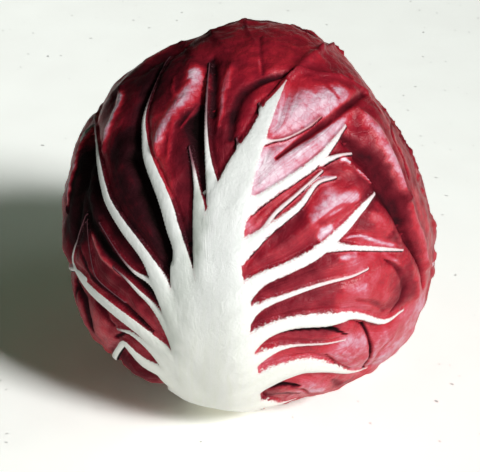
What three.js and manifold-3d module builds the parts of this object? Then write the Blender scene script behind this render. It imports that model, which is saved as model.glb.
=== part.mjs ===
// A head of round red radicchio, built leaf by leaf around its stem core.
// Millimetres, +Z up, the origin on the surface it stands on, under the middle of its flat resting spot.
// The head leans back a little, away from -Y, and rests on the flattened base of its back leaf.
import * as THREE from "three";
import { mergeVertices } from "three/addons/utils/BufferGeometryUtils.js";
import Module from "manifold-3d";

// ---- Driving dimensions ----
const HEAD_RADIUS = 59.5; // of the outermost leaf, at the head's equator
const LEAN_BACK = 26; // degrees from upright, towards +Y
const LEAN_RIGHT = 8; // degrees from upright, towards +X
const FLAT_DEPTH = 1.6; // how far the resting spot is flattened into the back leaf

const LEAF_COUNT = 20;
const LEAF_GAP = 0.7; // clear space between two leaves, on their smooth shells
const BLADE_THICKNESS = 0.9;
// From one leaf to the next, measured towards the head's centre. At the base the outer leaves are thick and
// the heart leaves crowd together; round the sides the outer leaves hug and the heart is looser.
const BASE_PITCH = { outer: 4.4, heart: 1.7 };
const SIDE_PITCH = { outer: 1.9, heart: 3.1 };
const RIB_WIDTH = { base: 15, tip: 4 }; // of the midrib, to either side
const RIB_ENDS = { from: 0.15, to: 0.85 }; // where the midrib sinks into the blade, along the leaf
const THICK_BASE = 0.5; // how far along the leaf its thick base reaches
const FLARE_WAVES = { across: 8, along: 14 };
const CROWN_BEND_STARTS = 60; // degrees from the stem

const STEM_CUT_RADIUS = 11.5; // at the cut face
const STEM_TOP_RADIUS = 4;
const STEM_CUT_DEPTH = 58.2; // from the head's centre to the cut face, along the head's axis
const TRIM_DEPTH = 60; // the same to the plane where the outer leaves' bases are trimmed
const STEM_TOP_DEPTH = 9;
const STEM_CHAMFER = 1.2;
const STEM_FACETS = 24;

// ---- Materials ----
const BLADE = new THREE.MeshStandardMaterial({ color: 0x8a1a30, roughness: 0.38, metalness: 0 });
const PALE = new THREE.MeshStandardMaterial({ color: 0xf1efe2, roughness: 0.5, metalness: 0 });

// ---- Small helpers ----
const rad = THREE.MathUtils.degToRad;
const mix = THREE.MathUtils.lerp;
const step = THREE.MathUtils.smoothstep;
const bump = (x, width) => Math.exp(-((x / width) ** 2));

// ---- The head's outer shape ----
// Broad swellings and flats of the whole head: a direction in the head's frame, how high, how wide.
const SWELLINGS = [
  { towards: [0.94, 0.02, 0.34], high: -5, sharp: 7 }, // the flatter right side
  { towards: [0.64, 0.06, 0.76], high: -6.3, sharp: 14 }, // the slope from the crown to the right side
  { towards: [0.12, 0.08, 0.99], high: 1.9, sharp: 14 }, // the crown
  { towards: [-0.64, -0.06, -0.76], high: 5.4, sharp: 8 }, // the full lower left
  { towards: [0.85, -0.06, -0.53], high: 3, sharp: 8 }, // the full lower right
  { towards: [0.22, -0.09, -0.97], high: 1.3, sharp: 16 },
].map((s) => ({ ...s, towards: new THREE.Vector3(...s.towards).normalize() }));

const STEM_END = new THREE.Vector3(0, 0, -1);

// Distance from the head's centre to its outer shape, in a direction of the head's frame.
function headShape(direction) {
  let radius = HEAD_RADIUS;
  for (const s of SWELLINGS) radius += s.high * Math.exp(s.sharp * (direction.dot(s.towards) - 1));
  return radius;
}

// ---- The leaves ----
// turn: where the leaf's midline faces, in degrees, with 0 at the front and 90 at +X.
// half: half its width, in degrees round the head; clasp: the same at its base.
// tip: how far it reaches from the stem, in degrees; round: how much less at its side margins.
// over: how far it then bends on over the crown. sway: how far its midline turns aside near the tip.
// rib: how far the midrib stands out. flare: how far the margin stands off. grid: columns and rows.
const FRONT = { turn: 0, half: 102, clasp: 60, tip: 162, round: 14, over: 22, sway: 16 };
const BACK = { turn: 167, half: 98, clasp: 60, tip: 156, round: 20, over: 26, sway: -8 };
const RIGHT = { turn: 78, half: 75, clasp: 50, tip: 158, round: 24, over: 26, sway: 8 };
const LEFT = { turn: -92, half: 80, clasp: 50, tip: 158, round: 24, over: 28, sway: 0 };
const INNER = { half: 82, clasp: 50, tip: 158, round: 22, over: 26, sway: 0 };
const OUTER = [
  { name: "front_leaf", ...FRONT, rib: 2.2, flare: 1.2, grid: [26, 24] },
  { name: "back_leaf", ...BACK, rib: 3.0, flare: 0, grid: [18, 16] },
  { name: "right_leaf", ...RIGHT, rib: 0, flare: 0, grid: [16, 15] },
  { name: "left_leaf", ...LEFT, rib: 0, flare: 0, grid: [16, 15] },
];
const MIDDLE_COUNT = 6;
const GOLDEN_TURN = 137.5;

function leafTable() {
  const leaves = [];
  const inset = { base: 0, side: 0 };
  for (let i = 0; i < LEAF_COUNT; i++) {
    const outwards = 1 - i / (LEAF_COUNT - 1);
    const pitch = {
      base: mix(BASE_PITCH.heart, BASE_PITCH.outer, outwards ** 2),
      side: mix(SIDE_PITCH.outer, SIDE_PITCH.heart, step(i, 0, LEAF_COUNT / 2)),
    };
    const order = i - OUTER.length;
    const middle = order < MIDDLE_COUNT;
    const common = {
      ...INNER,
      name: middle ? `middle_leaf_${order + 1}` : `heart_leaf_${order - MIDDLE_COUNT + 1}`,
      turn: LEFT.turn + (order + 1) * GOLDEN_TURN,
      rib: 0,
      flare: 0,
      grid: middle ? [14, 12] : [10, 9],
    };
    leaves.push({ ...common, ...OUTER[i], inset: { ...inset }, pitch });
    inset.base += pitch.base;
    inset.side += pitch.side;
  }
  return leaves;
}

function stemRadius(below) {
  const down = THREE.MathUtils.clamp((below - STEM_TOP_DEPTH) / (STEM_CUT_DEPTH - STEM_TOP_DEPTH), 0, 1);
  return mix(STEM_TOP_RADIUS, STEM_CUT_RADIUS, down);
}

// How far from the stem's axis, in degrees, a face of the leaf begins, so that its base clears the stem.
function baseAngle(leaf, face) {
  const outer = headShape(STEM_END) * (1 - leaf.inset.base / HEAD_RADIUS);
  const radius = face === "outer" ? outer : outer - leaf.pitch.base + LEAF_GAP;
  const clear = stemRadius(outer) + LEAF_GAP;
  return THREE.MathUtils.radToDeg(Math.asin(Math.min(0.8, clear / radius)));
}

// A point of the leaf: across runs from -1 to 1 between its side margins, and along from 0 at its base to 1 at
// its top. Gives its direction from the head's centre, its place in degrees, and how near it is to the margin.
function leafDirection(leaf, face, across, along) {
  const tip = leaf.tip - leaf.round * across ** 2;
  const down = mix(baseAngle(leaf, face), tip, along);
  const widening = 1 - (1 - Math.min(1, along / THICK_BASE)) ** 3;
  const spread = mix(leaf.clasp, leaf.half, widening) * (1 - 0.2 * step(along, 0.7, 1));
  const middle = leaf.sway * step(along, 0.5, 1);
  const side = across * spread + middle;
  const bend = rad(leaf.over) * step(down, CROWN_BEND_STARTS, 180);
  const direction = new THREE.Vector3(
    Math.sin(rad(down)) * Math.sin(rad(side)),
    -Math.sin(rad(down)) * Math.cos(rad(side)),
    -Math.cos(rad(down)),
  )
    .applyAxisAngle(new THREE.Vector3(1, 0, 0), -bend)
    .applyAxisAngle(new THREE.Vector3(0, 0, 1), rad(leaf.turn));
  const edge = Math.max(step(Math.abs(across), 0.6, 1), step(along, 0.86, 1));
  return { direction, down, aside: side - middle, edge };
}

// The point on that face of the leaf, from the head's centre.
function leafPoint(leaf, face, across, along) {
  const { direction, down, aside, edge } = leafDirection(leaf, face, across, along);
  const low = step(-direction.z, -0.2, 0.9); // 1 near the stem, 0 from a little above the equator
  const shell = headShape(direction) * (1 - mix(leaf.inset.side, leaf.inset.base, low) / HEAD_RADIUS);
  const room = mix(leaf.pitch.side, leaf.pitch.base, low) - LEAF_GAP;
  const lateral = rad(aside) * Math.sin(rad(down)) * shell;
  const ribWidth = mix(RIB_WIDTH.base, RIB_WIDTH.tip, along);
  const rib = leaf.rib * (1 - step(along, RIB_ENDS.from, RIB_ENDS.to)) * bump(lateral, ribWidth);
  const wave = 0.5 + 0.5 * Math.sin(FLARE_WAVES.across * across + FLARE_WAVES.along * along);
  const flare = leaf.flare * edge * wave;
  // The margin lies down on the leaf beneath.
  const settle = (room - BLADE_THICKNESS) * edge;
  const baseThickness = (room - settle) * (1 - step(along, 0, THICK_BASE));
  const thickness = Math.max(BLADE_THICKNESS, baseThickness);
  const radius = shell + flare - settle + (face === "outer" ? rib : -thickness);
  return direction.multiplyScalar(radius);
}

// A closed sheet: its outer face, its inner face, and a rim that joins them.
function leafGeometry(leaf) {
  const [columns, rows] = leaf.grid;
  const positions = [];
  for (const face of ["outer", "inner"])
    for (let r = 0; r <= rows; r++)
      for (let c = 0; c <= columns; c++) {
        const p = leafPoint(leaf, face, (2 * c) / columns - 1, r / rows);
        positions.push(p.x, p.y, p.z);
      }
  const at = (face, r, c) => (face * (rows + 1) + r) * (columns + 1) + c;
  const index = [];
  const quad = (a, b, c, d) => index.push(a, b, c, a, c, d);
  for (let r = 0; r < rows; r++)
    for (let c = 0; c < columns; c++) {
      quad(at(0, r, c), at(0, r, c + 1), at(0, r + 1, c + 1), at(0, r + 1, c));
      quad(at(1, r, c), at(1, r + 1, c), at(1, r + 1, c + 1), at(1, r, c + 1));
    }
  for (let c = 0; c < columns; c++) {
    quad(at(0, 0, c), at(1, 0, c), at(1, 0, c + 1), at(0, 0, c + 1));
    quad(at(0, rows, c), at(0, rows, c + 1), at(1, rows, c + 1), at(1, rows, c));
  }
  for (let r = 0; r < rows; r++) {
    quad(at(0, r, 0), at(0, r + 1, 0), at(1, r + 1, 0), at(1, r, 0));
    quad(at(0, r, columns), at(1, r, columns), at(1, r + 1, columns), at(0, r + 1, columns));
  }
  const geometry = new THREE.BufferGeometry();
  geometry.setAttribute("position", new THREE.Float32BufferAttribute(positions, 3));
  geometry.setIndex(index);
  return geometry;
}

// ---- The stem core ----
function stemGeometry() {
  const profile = [
    [0, -STEM_CUT_DEPTH],
    [STEM_CUT_RADIUS - STEM_CHAMFER, -STEM_CUT_DEPTH],
    [STEM_CUT_RADIUS, -STEM_CUT_DEPTH + STEM_CHAMFER],
    [STEM_TOP_RADIUS, -STEM_TOP_DEPTH - STEM_TOP_RADIUS],
    [STEM_TOP_RADIUS * 0.6, -STEM_TOP_DEPTH],
    [0, -STEM_TOP_DEPTH],
  ].map(([x, y]) => new THREE.Vector2(x, y));
  const lathe = new THREE.LatheGeometry(profile, STEM_FACETS);
  lathe.rotateX(Math.PI / 2);
  return lathe;
}

// ---- The head's stance ----
const lean = new THREE.Matrix4()
  .makeRotationX(-rad(LEAN_BACK))
  .multiply(new THREE.Matrix4().makeRotationY(rad(LEAN_RIGHT)));

const wasm = await Module();
wasm.setup();

function toSolid(geometry) {
  const bare = geometry.clone();
  for (const name of ["normal", "uv"]) bare.deleteAttribute(name);
  const merged = mergeVertices(bare, 1e-4);
  return new wasm.Manifold(
    new wasm.Mesh({
      numProp: 3,
      vertProperties: merged.attributes.position.array,
      triVerts: new Uint32Array(merged.index.array),
    }),
  );
}

function toGeometry(solid) {
  const { vertProperties, triVerts, numProp } = solid.getMesh();
  const positions = new Float32Array((vertProperties.length / numProp) * 3);
  for (let i = 0; i < positions.length / 3; i++) {
    positions.set(vertProperties.subarray(i * numProp, i * numProp + 3), 3 * i);
  }
  const geometry = new THREE.BufferGeometry();
  geometry.setAttribute("position", new THREE.BufferAttribute(positions, 3));
  geometry.setIndex(new THREE.BufferAttribute(triVerts, 1));
  geometry.computeVertexNormals();
  return geometry;
}

// Everything below a depth, as a slab wide enough for the whole head.
const SLAB = { width: 400, thickness: 100 };
function slabBelow(depth) {
  const box = new THREE.BoxGeometry(SLAB.width, SLAB.width, SLAB.thickness);
  return box.translate(0, 0, -depth - SLAB.thickness / 2);
}

function cut(geometry, slab, depth) {
  geometry.computeBoundingBox();
  return geometry.boundingBox.min.z < -depth ? toGeometry(toSolid(geometry).subtract(slab)) : geometry;
}

const trimSlab = toSolid(slabBelow(TRIM_DEPTH));
const pieces = [
  ["stem_core", stemGeometry(), PALE],
  ...leafTable().map((leaf) => [leaf.name, cut(leafGeometry(leaf), trimSlab, TRIM_DEPTH), BLADE]),
].map(([name, geometry, material]) => [name, geometry.applyMatrix4(lean), material]);

// The surface lies FLAT_DEPTH above the leaning head's lowest point.
let lowest = Infinity;
for (const [, geometry] of pieces) {
  geometry.computeBoundingBox();
  lowest = Math.min(lowest, geometry.boundingBox.min.z);
}
const centreHeight = -lowest - FLAT_DEPTH;
const floorSlab = toSolid(slabBelow(centreHeight));

const head = new THREE.Group();
head.name = "radicchio_head";
for (const [name, geometry, material] of pieces) {
  const mesh = new THREE.Mesh(cut(geometry, floorSlab, centreHeight), material);
  mesh.name = name;
  mesh.position.set(0, 0, centreHeight);
  head.add(mesh);
}

export default head;
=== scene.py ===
import math
from functools import partialmethod

import bpy
import numpy as np
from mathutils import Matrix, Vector


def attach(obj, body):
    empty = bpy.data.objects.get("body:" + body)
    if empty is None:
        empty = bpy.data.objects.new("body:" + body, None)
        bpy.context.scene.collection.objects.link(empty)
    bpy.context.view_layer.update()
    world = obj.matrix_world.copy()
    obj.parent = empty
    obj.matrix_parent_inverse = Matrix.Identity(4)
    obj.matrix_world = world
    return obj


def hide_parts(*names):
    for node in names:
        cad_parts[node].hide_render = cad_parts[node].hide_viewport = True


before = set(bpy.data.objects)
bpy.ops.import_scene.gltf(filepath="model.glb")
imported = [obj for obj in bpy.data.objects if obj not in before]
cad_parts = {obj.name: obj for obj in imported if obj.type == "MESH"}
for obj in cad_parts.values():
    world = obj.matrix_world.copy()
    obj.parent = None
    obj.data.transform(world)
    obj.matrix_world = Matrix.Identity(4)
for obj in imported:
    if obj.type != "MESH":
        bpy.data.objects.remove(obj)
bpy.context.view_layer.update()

MM = 0.001

# ---- The head, as in the CAD ----
HEAD_RADIUS = 59.5
LEAN_BACK = 26
LEAN_RIGHT = 8
CENTRE_HEIGHT = 56.73
SWELLINGS = [  # a direction, how high, how sharp
    ((0.94, 0.02, 0.34), -5, 7),
    ((0.64, 0.06, 0.76), -6.3, 14),
    ((0.12, 0.08, 0.99), 1.9, 14),
    ((-0.64, -0.06, -0.76), 5.4, 8),
    ((0.85, -0.06, -0.53), 3, 8),
    ((0.22, -0.09, -0.97), 1.3, 16),
]
LEAF_COUNT = 20
LEAF_GAP = 0.7
BLADE_THICKNESS = 0.9
RIB_RISE = 1.9
RIB_FRAY = 0.5
BASE_PITCH = (4.4, 1.7)  # outermost leaf, innermost leaf
SIDE_PITCH = (1.9, 3.1)
RIB_WIDTH = (15, 4)  # base, tip
RIB_ENDS = (0.15, 0.85)
THICK_BASE = 0.5
FLARE_WAVES = (8, 14)
CROWN_BEND_STARTS = 60
STEM_CUT_RADIUS = 11.5
STEM_TOP_RADIUS = 4
STEM_CUT_DEPTH = 58.2
STEM_TOP_DEPTH = 9
TRIM_DEPTH = 60
GOLDEN_TURN = 137.5
MIDDLE_COUNT = 6

# In degrees, where a leaf stands round the stem, half its spread, the same at its base, how far its tip is
# from the stem's end, how rounded the tip is, how far it leans over the crown, and the midrib's sway. In mm,
# how much the midrib and the margin stand out.
INNER = dict(half=82, clasp=50, tip=158, round=22, over=26, sway=0, rib=0, flare=0)
BACK = dict(INNER, name="back_leaf", turn=167, half=98, clasp=60, tip=156, round=20, sway=-8, rib=3.0)
RIGHT = dict(INNER, name="right_leaf", turn=78, half=75, round=24, sway=8)
LEFT = dict(INNER, name="left_leaf", turn=-92, half=80, round=24, over=28)
FRONT = dict(
    name="front_leaf", turn=0, half=102, clasp=60, tip=162, round=14, over=22, sway=16, rib=2.2, flare=1.2
)

# ---- The viewpoint ----
ELEVATION = 30
DISTANCE = 550  # mm, from the eye to the plane through the head's centre
LENS = 129.4
SENSOR = 36
AIM = (-4.1, -7.0)  # where the camera looks, from the head's centre, to the right and up, in mm


# ---- Small helpers ----
def unit(v):
    v = np.asarray(v, float)
    return v / np.linalg.norm(v, axis=-1, keepdims=True)


def mix(a, b, t):
    return a + (b - a) * t


def smooth(x, low, high):
    t = np.clip((np.asarray(x, float) - low) / (high - low), 0, 1)
    return t * t * (3 - 2 * t)


def bump(x, width):
    return np.exp(-((x / width) ** 2))


def about(axis, degrees):
    """A turn about one axis, 0 for X to 2 for Z."""
    a, b = (axis + 1) % 3, (axis + 2) % 3
    turn = np.eye(3)
    turn[a, a] = turn[b, b] = math.cos(math.radians(degrees))
    turn[b, a] = math.sin(math.radians(degrees))
    turn[a, b] = -turn[b, a]
    return turn


LEAN = about(0, -LEAN_BACK) @ about(1, LEAN_RIGHT)


def to_world(points):
    """From the head's frame in mm to the CAD's frame in metres."""
    return (points @ LEAN.T + [0, 0, CENTRE_HEIGHT]) * MM


class Waves:
    """A soft random field: a sum of plane waves of about one wavelength, from -1 to 1 for the most part."""

    def __init__(self, seed, wavelength, count=28):
        rng = np.random.default_rng(seed)
        lengths = wavelength * rng.uniform(0.6, 1.6, count)
        self.waves = unit(rng.normal(size=(count, 3))) * (2 * np.pi / lengths)[:, None]
        self.phases = rng.uniform(0, 2 * np.pi, count)
        self.scale = 1.1 * math.sqrt(1 / count)

    def __call__(self, points):
        total = np.zeros(len(points))
        for wave, phase in zip(self.waves, self.phases):
            total += np.sin(points @ wave + phase)
        return total * self.scale


LUMPY = Waves(1, 16)
PUCKERED = Waves(2, 5.5)
FINE = Waves(3, 2.4)
TEETH = Waves(4, 4.5)
MOTTLED = Waves(5, 22)


# ---- The head's outer shape ----
def head_shape(directions):
    """The head's radius in some directions from its centre, given as rows of unit vectors."""
    radius = np.full(len(directions), float(HEAD_RADIUS))
    for towards, high, sharp in SWELLINGS:
        radius += high * np.exp(sharp * (directions @ unit(towards) - 1))
    return radius


def place_on(directions):
    return directions * head_shape(directions)[:, None]


# ---- The face-on plane ----
# Veins and folds of the front leaf are drawn in mm on the plane through the head's centre that faces the
# viewpoint: X to the right, Y up. Sight lines from the eye carry them onto the head.
sine, cosine = math.sin(math.radians(ELEVATION)), math.cos(math.radians(ELEVATION))
VIEW_RIGHT = np.array([1.0, 0, 0])
VIEW_UP = np.array([0, sine, cosine])
VIEW_BACK = np.array([0, -cosine, sine])
EYE_WORLD = VIEW_RIGHT * AIM[0] + VIEW_UP * AIM[1] + VIEW_BACK * DISTANCE  # from the head's centre
EYE = EYE_WORLD @ LEAN
SIGHT_STEPS = 240
SIGHT_REACH = 90


def lift(drawn):
    """Where the sight lines through points of the face-on plane first meet the head, in the head's frame."""
    drawn = np.asarray(drawn, float)
    flat = (drawn[:, :1] * VIEW_RIGHT + drawn[:, 1:2] * VIEW_UP) @ LEAN
    rays = unit(flat - EYE)
    middle = -(rays @ EYE)
    steps = np.linspace(-SIGHT_REACH, SIGHT_REACH / 3, SIGHT_STEPS)
    points = EYE + rays[:, None, :] * (middle[:, None] + steps[None, :])[:, :, None]
    lengths = np.linalg.norm(points, axis=2)
    outside = lengths - head_shape((points / lengths[:, :, None]).reshape(-1, 3)).reshape(lengths.shape)
    hit = np.where((outside < 0).any(axis=1), (outside < 0).argmax(axis=1), outside.argmin(axis=1))
    rows = np.arange(len(drawn))
    before = np.maximum(hit - 1, 0)
    high, low = outside[rows, before], outside[rows, hit]
    part = np.clip(high / np.where(high - low == 0, 1, high - low), 0, 1)
    return place_on(unit(mix(points[rows, before], points[rows, hit], part[:, None])))


# ---- Strokes: veins and folds as curves on the head ----
STROKE_SPACING = 0.5
RUN_ON_WIDTH = 0.3  # the half-width at the end of a stroke that runs on round the head


def smooth_path(rows):
    """A smooth curve through the rows (place, then half-width), sampled evenly enough."""
    rows = np.asarray(rows, float)
    padded = np.vstack([2 * rows[0] - rows[1], rows, 2 * rows[-1] - rows[-2]])
    sampled = []
    for a, b, c, d in zip(padded, padded[1:], padded[2:], padded[3:]):
        count = max(2, int(np.linalg.norm((c - b)[:-1]) / STROKE_SPACING))
        t = (np.arange(count) / count)[:, None]
        sampled.append(b + 0.5 * t * (c - a + t * (2 * a - 5 * b + 4 * c - d + t * (3 * (b - c) + d - a))))
    sampled.append(rows[-1:])
    path = np.vstack(sampled)
    path[:, -1] = np.maximum(path[:, -1], rows[:, -1].min() * 0.5)
    return path


class Stroke:
    """A curve on the head with a half-width that changes along it."""

    FAR = 30.0  # mm; what lies farther off isn't told apart

    def __init__(self, points, widths, order=0.0, cliff=0.0, side=1, fray=0.6):
        self.points = points
        self.widths = widths
        self.order = order  # its place in the row of side veins, which the blade's grain follows
        self.cliff = cliff  # how deep the blade falls beside it, in mm
        self.side = side  # 1 where it falls on the left hand as the vein runs outwards, -1 on the right hand
        self.fray = fray  # how ragged its border is
        self.tangents = unit(np.gradient(points, axis=0))
        self.spacing = np.linalg.norm(np.diff(points, axis=0), axis=1).mean()

    @classmethod
    def drawn(cls, rows, **more):
        path = smooth_path(rows)
        points = lift(path[:, :2])
        nearer = np.linalg.norm(points - EYE, axis=1) / np.linalg.norm(EYE)
        return cls(points, path[:, 2] * nearer, **more)

    def run_on(self, degrees):
        """Carries the stroke on round the head from its last point."""
        start, tangent = self.points[-1], self.tangents[-3]
        axis = unit(np.cross(start, tangent))
        angles = np.radians(np.arange(0.5, degrees, 0.6))
        across = np.cross(axis, start)
        more = place_on(unit(np.outer(np.cos(angles), start) + np.outer(np.sin(angles), across)))
        points = np.vstack([self.points, more])
        widths = mix(self.widths[-1], RUN_ON_WIDTH, np.linspace(0, 1, len(angles)))
        widths = np.concatenate([self.widths, widths])
        return Stroke(points, widths, self.order, self.cliff, self.side, self.fray)

    def measure(self, places):
        """For each place: its signed distance across the stroke, its distance, half-width and share along."""
        count = len(places)
        across = np.full(count, self.FAR)
        distance = np.full(count, self.FAR)
        width = np.full(count, self.widths[-1])
        share = np.ones(count)
        middle = self.points.mean(axis=0)
        reach = np.linalg.norm(self.points - middle, axis=1).max() + self.FAR
        near = np.nonzero(np.linalg.norm(places - middle, axis=1) < reach)[0]
        for chunk in np.array_split(near, max(1, len(near) * len(self.points) // 8_000_000)):
            v = places[chunk]
            squared = (v**2).sum(axis=1)[:, None] - 2 * v @ self.points.T + (self.points**2).sum(axis=1)
            k = squared.argmin(axis=1)
            offset = v - self.points[k]
            forward = (offset * self.tangents[k]).sum(axis=1)
            left = unit(np.cross(unit(self.points[k]), self.tangents[k]))
            sideways = (offset * left).sum(axis=1)
            beyond = np.maximum(0, np.abs(forward) - self.spacing)
            across[chunk] = sideways
            distance[chunk] = np.minimum(self.FAR, np.hypot(sideways, beyond))
            width[chunk] = self.widths[k]
            share[chunk] = k / (len(self.points) - 1)
        return across, distance, width, share


# Each point: X, Y, half-width, in mm on the face-on plane. A stroke starts at the midrib and runs outwards.
MIDRIB = [
    (-12.6, -62, 15.4), (-12.5, -44, 13.5), (-11.5, -36, 10.8), (-10.3, -28, 9.8), (-11, -18, 7.6),
    (-10.2, -8, 7.3), (-7, 4.5, 6), (-3.3, 15, 4.6), (0.9, 23.5, 3), (3.8, 30, 2.2), (5.6, 34, 1.8),
    (7.6, 37, 1), (10, 41, 0.15),
]
LEFT_VEINS = [  # points, order, cliff and, where it runs on round the head, how far, in degrees
    ([(3.4, 29, 1), (2.6, 32, 0.8), (2.2, 34.6, 0.25)], 0.4, 0.1),
    ([(-3.4, 17.5, 1), (-4.3, 20.5, 0.8), (-5, 23.4, 0.25)], 0.6, 0.1),
    ([(-12, 4.5, 2.9), (-14.3, 16.5, 1.1), (-15.2, 28.5, 0.5), (-14.7, 41, 0.3), (-14, 48.5, 0.15)], 1, 2),
    ([(-15.5, -18, 3.4), (-16.3, -10, 3), (-17.3, 2, 2), (-18.1, 8, 1), (-19, 14, 0.5), (-20.4, 21, 0.2)],
     1.8, 0.5),
    ([(-18, -42, 5), (-20.7, -29, 5), (-22.6, -19, 4.4), (-23.5, -12, 2.6), (-25.9, -4.5, 2.5),
     (-28.5, 4.5, 2.4), (-33.5, 17, 1.75), (-34.9, 25, 1), (-34.9, 31.5, 0.6), (-32.8, 38.5, 0.3),
     (-28.9, 47.4, 0.15)], 3, 2.4, 6),
    ([(-20.5, -43, 4.5), (-26, -31, 3.7), (-30.2, -21.5, 3), (-34.6, -13.5, 2), (-41.3, -4.5, 1.8),
     (-46, 3, 1.5), (-47.9, 8.5, 1.35), (-49.4, 15.5, 1), (-50.3, 22.5, 0.6), (-50.8, 29, 0.3)], 5, 1.2, 30),
    ([(-24, -38, 2.6), (-28.5, -27.5, 1.8), (-33, -22, 1.1), (-38, -18.8, 0.6), (-42, -14.5, 0.35),
     (-45.4, -9.6, 0.25), (-49.3, -3.2, 0.2)], 6, 0.4),
    ([(-22, -46, 3), (-26.5, -37.5, 2.2), (-32.2, -29.6, 1.1), (-37.1, -24.7, 0.75), (-41, -20.7, 0.45),
     (-44.4, -17.6, 0.25)], 7, 0.6),
    ([(-41.9, -27.9, 0.2), (-46.9, -24, 0.25), (-50.3, -20.5, 0.25), (-51.7, -16.5, 0.25), (-52.8, -10, 0.2),
     (-53.4, -3, 0.2)], 8, 0),
    ([(-18, -54.5, 4), (-24.8, -47, 3.4), (-34.4, -38.6, 2.5), (-45, -30.4, 2.1), (-53.2, -23, 1.6),
     (-57.6, -15.5, 0.8), (-56.6, -8.5, 0.4), (-54, -1, 0.25)], 9, 0.9),
    ([(-54, -20.6, 1), (-56.5, -18.2, 0.7), (-59.5, -17.4, 0.5)], 9, 0, 40),
    ([(-27, -48.5, 3.2), (-31.5, -44, 2.3), (-36.3, -40.4, 1.2), (-39.5, -38.3, 0.8), (-43, -37.2, 0.4)], 10,
     0.6),
    ([(-26, -53.5, 3.8), (-28.5, -50.8, 3.7), (-34.2, -47.8, 2.9), (-38.2, -44.5, 1.8), (-41.2, -41.6, 1.2),
     (-43, -43.3, 0.9), (-44.6, -45.8, 1)], 11, 0.3, 40),
]
RIGHT_VEINS = [
    ([(1.5, 22, 1.9), (5.5, 23.2, 0.4), (11, 24.4, 0.18), (17.8, 28, 0.13), (21.5, 31, 0.08)], -1, 0.1),
    ([(-4, 1.2, 3.7), (3, 5, 1.8), (12, 10.8, 1.4), (20.5, 16.9, 1.4), (26, 23.2, 0.8), (29.5, 28, 0.3)], -3,
     0.8),
    ([(22, 16.7, 1.1), (27, 18.7, 0.5), (31.5, 19.6, 0.25)], -3.4, 0.3),
    ([(3, -5, 0.5), (7.5, 0.6, 0.5), (14.5, 6.7, 0.35), (22, 13.5, 0.2)], -4.2, 0),
    ([(-5, -12.7, 3.5), (3, -6.4, 1.8), (9, -2.1, 1.2), (15.5, 3.2, 0.9), (20.5, 9.8, 0.5), (26, 11.7, 0.2)],
     -5, 0.7),
    ([(-6.5, -27.3, 4.4), (2, -20.9, 2.4), (12, -16.9, 2), (20.5, -12.4, 2), (29.3, -4.7, 1.5), (35, 1.8, 1),
     (39, 6.2, 0.3)], -7, 0.9),
    ([(24.5, -10.4, 1.9), (31, -10.8, 0.9), (40.5, -11.2, 0.6), (48, -11.6, 0.2)], -8, 0.5),
    ([(-5.5, -34, 4.1), (2, -29.2, 1.5), (12, -25.8, 0.8), (23, -22.4, 0.5), (31.5, -20.2, 0.35),
     (36.5, -18, 0.2)], -9, 0.8),
    ([(-5, -43, 4.1), (3, -37.5, 2.8), (12, -34.8, 2.5), (24.5, -33.9, 2.5), (33.5, -32.8, 1.2),
     (42, -34.7, 0.8), (48, -31.2, 0.3)], -11, 1),
    ([(-3, -47, 3.5), (5, -43.7, 1.7), (12, -42.3, 0.6), (23, -41.8, 0.3), (29, -40.6, 0.2)], -12.5, 0.4),
    ([(-4, -55, 5.6), (4.5, -51.8, 5.2), (11, -49.8, 4.7), (17.5, -48.6, 3.9), (25, -49.5, 2.1),
     (31, -50.8, 0.8), (36.5, -49.9, 0.4)], -14, 0.4),
    ([(-5, -59.5, 5), (1, -59.5, 4.2), (4, -59.8, 3.2), (6.5, -60.2, 2), (9.5, -60.2, 1.1), (13, -59.4, 0.4)],
     -16, 0),
]
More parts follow.
